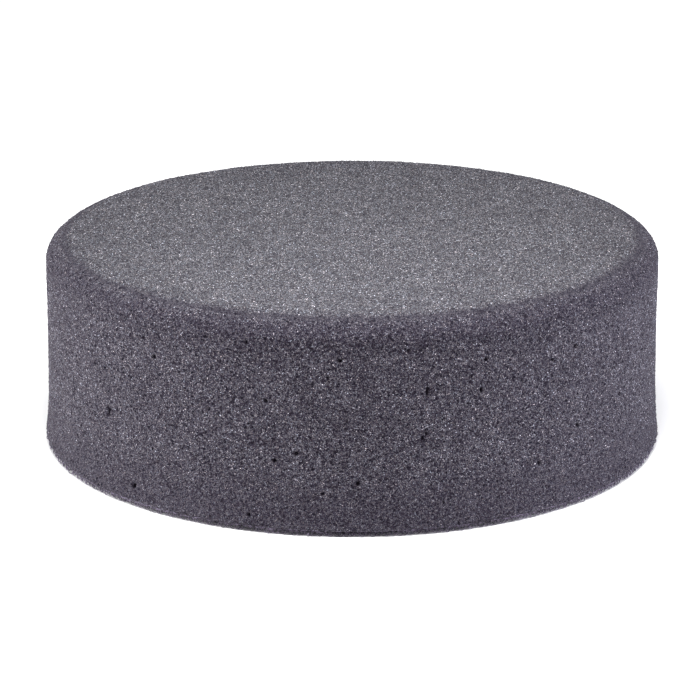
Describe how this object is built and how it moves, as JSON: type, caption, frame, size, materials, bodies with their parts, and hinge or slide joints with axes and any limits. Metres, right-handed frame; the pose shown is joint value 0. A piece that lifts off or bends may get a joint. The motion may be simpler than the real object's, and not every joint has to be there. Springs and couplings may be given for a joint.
{
  "type": "polishing pad",
  "caption": "Round foam polishing pad with a rounded work face and a loop-fabric back that holds on to a hook-faced backing plate.",
  "frame": {"origin": "centre of the loop face, where the pad meets its backing plate", "axes": "+Z along the pad's axis, from the loop face to the work face"},
  "size_m": [0.15, 0.15, 0.05],
  "materials": {
    "foam": "open-cell polyurethane foam, skived",
    "adhesive": "hot-melt film",
    "ground": "warp-knitted ground",
    "pile": "brushed nylon loops"
  },
  "bodies": {
    "root": {"foam_body": "foam", "adhesive_film": "adhesive", "loop_ground": "ground", "loop_pile": "pile"}
  },
  "joints": []
}
